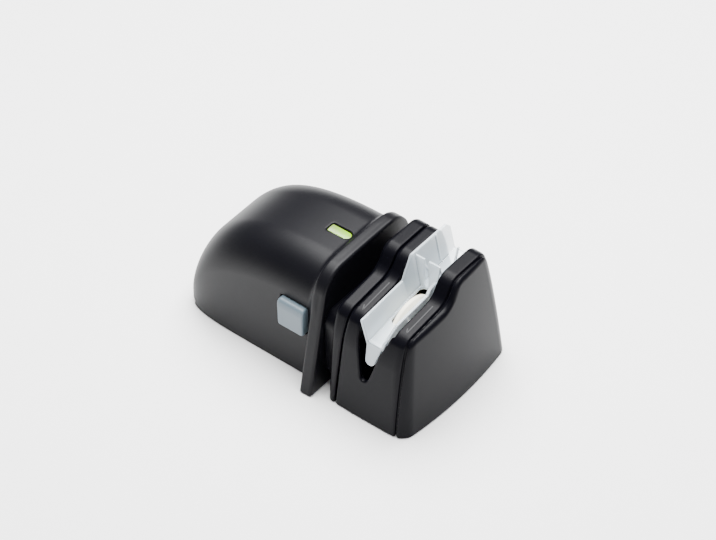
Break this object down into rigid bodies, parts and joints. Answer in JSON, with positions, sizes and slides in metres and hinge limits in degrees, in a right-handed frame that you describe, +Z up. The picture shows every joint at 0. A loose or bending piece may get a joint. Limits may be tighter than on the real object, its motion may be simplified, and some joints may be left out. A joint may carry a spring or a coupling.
{
  "type": "electric knife sharpener",
  "caption": "Battery knife sharpener: domed rear housing with side button and guard flange, stepped black head with a clear V guide over a driven abrasive wheel.",
  "frame": {"origin": "centre of the footprint, on the surface it stands on", "axes": "+X from the domed rear end to the sharpening head, +Z up, -Y the side with the button"},
  "size_m": [0.1509, 0.0924, 0.073],
  "materials": {
    "housing_black": "matte, very finely grained",
    "head_black": "satin",
    "clear_plastic": "clear moulded plastic",
    "lens_green": "translucent lime",
    "button_grey": "satin pale blue grey",
    "abrasive_cream": "fine grit",
    "cell_jacket": "plain jacket",
    "spring_steel": "plated",
    "motor_steel": "plated can",
    "shaft_steel": "ground",
    "brass": "turned",
    "white_nylon": "natural nylon",
    "switch_black": "moulded",
    "board_green": "solder mask",
    "led_green": "tinted epoxy",
    "foot_rubber": "matte"
  },
  "bodies": {
    "housing": {"rear_housing": "housing_black", "window_lens": "lens_green", "base_plate": "housing_black", "battery_tray": "housing_black", "battery_cell_1": "cell_jacket", "battery_cell_2": "cell_jacket", "battery_cell_3": "cell_jacket", "battery_cell_4": "cell_jacket", "contacts_rear": "spring_steel", "contacts_front": "spring_steel", "head_rear_cover": "head_black", "head_centre_block": "head_black", "head_front_cover": "head_black", "head_base_plate": "head_black", "motor_can": "motor_steel", "motor_end_cap": "white_nylon", "motor_bracket": "spring_steel", "bush_rear": "brass", "bush_front": "brass", "switch_body": "switch_black", "circuit_board": "board_green", "pilot_led": "led_green", "base_screws": "shaft_steel", "neck_screws": "shaft_steel", "bracket_screws": "shaft_steel", "rubber_foot_1": "foot_rubber", "rubber_foot_2": "foot_rubber", "rubber_foot_3": "foot_rubber", "rubber_foot_4": "foot_rubber"},
    "wheel_set": {"wheel_shaft": "shaft_steel", "driven_gear": "white_nylon", "abrasive_wheel": "abrasive_cream"},
    "motor_rotor": {"motor_shaft": "shaft_steel", "motor_pinion": "brass"},
    "button": {"power_button": "button_grey", "switch_plunger": "white_nylon"},
    "guide": {"knife_guide": "clear_plastic"},
    "door": {"battery_door": "housing_black"}
  },
  "joints": [
    {"name": "wheel_spin", "type": "hinge", "parent": "housing", "child": "wheel_set", "pos_m": [0.049, -0.0065, 0.038], "axis": [1, 0, 0], "continuous": true},
    {"name": "motor_spin", "type": "hinge", "parent": "housing", "child": "motor_rotor", "pos_m": [0.035, 0.0135, 0.038], "axis": [1, 0, 0], "continuous": true},
    {"name": "button_press", "type": "slide", "parent": "housing", "child": "button", "axis": [0, 1, 0], "range_m": [0, 0.0025], "stiffness_N_per_m": 500, "springref_m": -0.001},
    {"name": "guide_lift", "type": "slide", "parent": "housing", "child": "guide", "axis": [0, 0, 1], "range_m": [0, 0.04]},
    {"name": "door_slide", "type": "slide", "parent": "housing", "child": "door", "axis": [-1, 0, 0], "range_m": [0, 0.062]}
  ],
  "couplings": [
    {"joint": "motor_spin", "follows": "wheel_spin", "ratio": -3}
  ]
}
